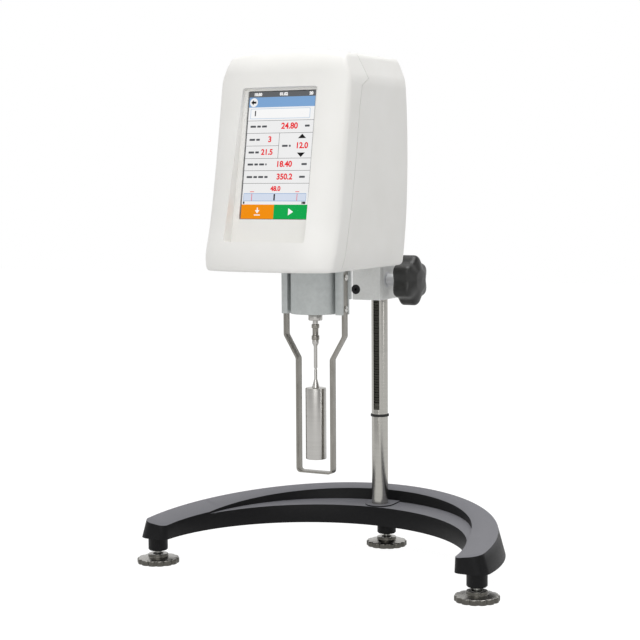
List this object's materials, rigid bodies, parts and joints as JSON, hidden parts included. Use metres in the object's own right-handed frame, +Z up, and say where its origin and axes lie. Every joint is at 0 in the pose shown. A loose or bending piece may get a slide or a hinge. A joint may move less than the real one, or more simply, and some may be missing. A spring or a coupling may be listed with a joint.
{
  "type": "rotational viscometer",
  "caption": "Bench rotational viscometer: touch-screen measuring head with spindle and guard leg on a rack-and-pinion stand with a crescent base.",
  "frame": {"origin": "on the table plane, at the middle of the instrument's footprint: half its width and half its depth", "axes": "+Z up from the table; -Y towards the operator, the way the screen faces; +X to the operator's right, where the lift knob is"},
  "size_m": [0.3668, 0.2741, 0.478],
  "materials": {
    "cast_grey": "sprayed dark grey textured paint on cast iron",
    "ground_steel": "ground and polished steel",
    "stainless": "fine turned stainless steel",
    "silver_paint": "satin silver anodised aluminium",
    "cast_housing": "bead blasted aluminium",
    "bare_alu": "machined aluminium",
    "head_white": "fine textured off-white moulding",
    "head_grey": "fine textured light grey moulding",
    "knob_black": "moulded black grip",
    "zinc_steel": "bright zinc plated steel",
    "black_steel": "black oxide steel",
    "foot_grey": "moulded grey plastic",
    "bronze": "sintered bronze",
    "nylon": "natural nylon",
    "rubber_black": "black rubber ring",
    "brass_plain": "turned brass",
    "glass_clear": "clear cover glass",
    "lcd_dark": "lit display panel",
    "board_green": "circuit board with solder resist",
    "chip_black": "moulded component bodies",
    "motor_black": "black lacquered motor with steel laminations",
    "spring_steel": "tempered spring strip",
    "disc_black": "thin black disc",
    "switch_black": "moulded black switch"
  },
  "bodies": {
    "stand": {"base_casting": "cast_grey", "post": "ground_steel", "post_stop_ring": "rubber_black", "post_washer": "zinc_steel", "post_bolt": "black_steel"},
    "carriage": {"carriage_block": "silver_paint", "shaft_bush": "bare_alu", "tension_pad": "nylon", "tension_screw": "black_steel", "arm_bracket": "silver_paint", "arm_screws": "black_steel", "bracket_screws": "black_steel", "head_front_shell": "head_white", "head_rear_shell": "head_grey", "shell_screws": "zinc_steel", "touch_glass": "glass_clear", "lcd_module": "lcd_dark", "main_board": "board_green", "board_chips": "chip_black", "board_pillars": "brass_plain", "power_switch": "switch_black", "power_inlet": "switch_black", "chassis_plate": "bare_alu", "motor_pillars": "brass_plain", "motor_plate": "bare_alu", "drive_motor": "motor_black", "sensor_board": "board_green", "disc_sensors": "chip_black", "bearing_housing": "cast_housing", "nose_bush": "stainless", "bearing_lower": "stainless", "bearing_upper": "stainless", "bearing_spacer": "bare_alu", "guard_leg": "stainless", "guard_screws": "zinc_steel"},
    "knob": {"pinion_shaft": "stainless", "knob_hub": "bare_alu", "lift_knob": "knob_black"},
    "rotor": {"motor_shaft": "stainless", "drive_carrier": "disc_black", "torsion_spring": "spring_steel", "spring_collet": "brass_plain"},
    "hanging_spindle": {"spindle_shaft": "stainless", "lower_disc": "disc_black", "spindle_coupling": "stainless", "spindle": "stainless"},
    "rocker": {"power_rocker": "switch_black"},
    "foot_left_stud": {"foot_stud_left": "zinc_steel"},
    "foot_left_disc": {"foot_disc_left": "foot_grey"},
    "foot_right_stud": {"foot_stud_right": "zinc_steel"},
    "foot_right_disc": {"foot_disc_right": "foot_grey"},
    "foot_rear_stud": {"foot_stud_rear": "zinc_steel"},
    "foot_rear_disc": {"foot_disc_rear": "foot_grey"}
  },
  "joints": [
    {"name": "lift", "type": "slide", "parent": "stand", "child": "carriage", "axis": [0, 0, 1], "range_m": [-0.09, 0.075]},
    {"name": "knob_turn", "type": "hinge", "parent": "carriage", "child": "knob", "pos_m": [0, 0.089, 0.2667], "axis": [1, 0, 0], "range_deg": [-680, 815]},
    {"name": "drive_spin", "type": "hinge", "parent": "carriage", "child": "rotor", "pos_m": [0, -0.033, 0.326], "axis": [0, 0, 1], "continuous": true},
    {"name": "spindle_twist", "type": "hinge", "parent": "rotor", "child": "hanging_spindle", "pos_m": [0, -0.033, 0.258], "axis": [0, 0, 1], "range_deg": [-80, 80], "stiffness_Nm_per_rad": 0.002},
    {"name": "power_rock", "type": "hinge", "parent": "carriage", "child": "rocker", "pos_m": [0.024, 0.031, 0.339], "axis": [1, 0, 0], "range_deg": [0, 20]},
    {"name": "foot_left_lift", "type": "slide", "parent": "stand", "child": "foot_left_stud", "axis": [0, 0, 1], "range_m": [-0.008, 0.003]},
    {"name": "foot_left_turn", "type": "hinge", "parent": "foot_left_stud", "child": "foot_left_disc", "pos_m": [-0.1635, -0.047, 0.004], "axis": [0, 0, 1], "range_deg": [-2880, 1080]},
    {"name": "foot_right_lift", "type": "slide", "parent": "stand", "child": "foot_right_stud", "axis": [0, 0, 1], "range_m": [-0.008, 0.003]},
    {"name": "foot_right_turn", "type": "hinge", "parent": "foot_right_stud", "child": "foot_right_disc", "pos_m": [0.1635, -0.047, 0.004], "axis": [0, 0, 1], "range_deg": [-2880, 1080]},
    {"name": "foot_rear_lift", "type": "slide", "parent": "stand", "child": "foot_rear_stud", "axis": [0, 0, 1], "range_m": [-0.008, 0.003]},
    {"name": "foot_rear_turn", "type": "hinge", "parent": "foot_rear_stud", "child": "foot_rear_disc", "pos_m": [0, 0.117, 0.004], "axis": [0, 0, 1], "range_deg": [-2880, 1080]}
  ],
  "couplings": [
    {"joint": "knob_turn", "follows": "lift", "rad_per_m": -156.25},
    {"joint": "foot_left_turn", "follows": "foot_left_lift", "rad_per_m": 6283.2},
    {"joint": "foot_right_turn", "follows": "foot_right_lift", "rad_per_m": 6283.2},
    {"joint": "foot_rear_turn", "follows": "foot_rear_lift", "rad_per_m": 6283.2}
  ]
}
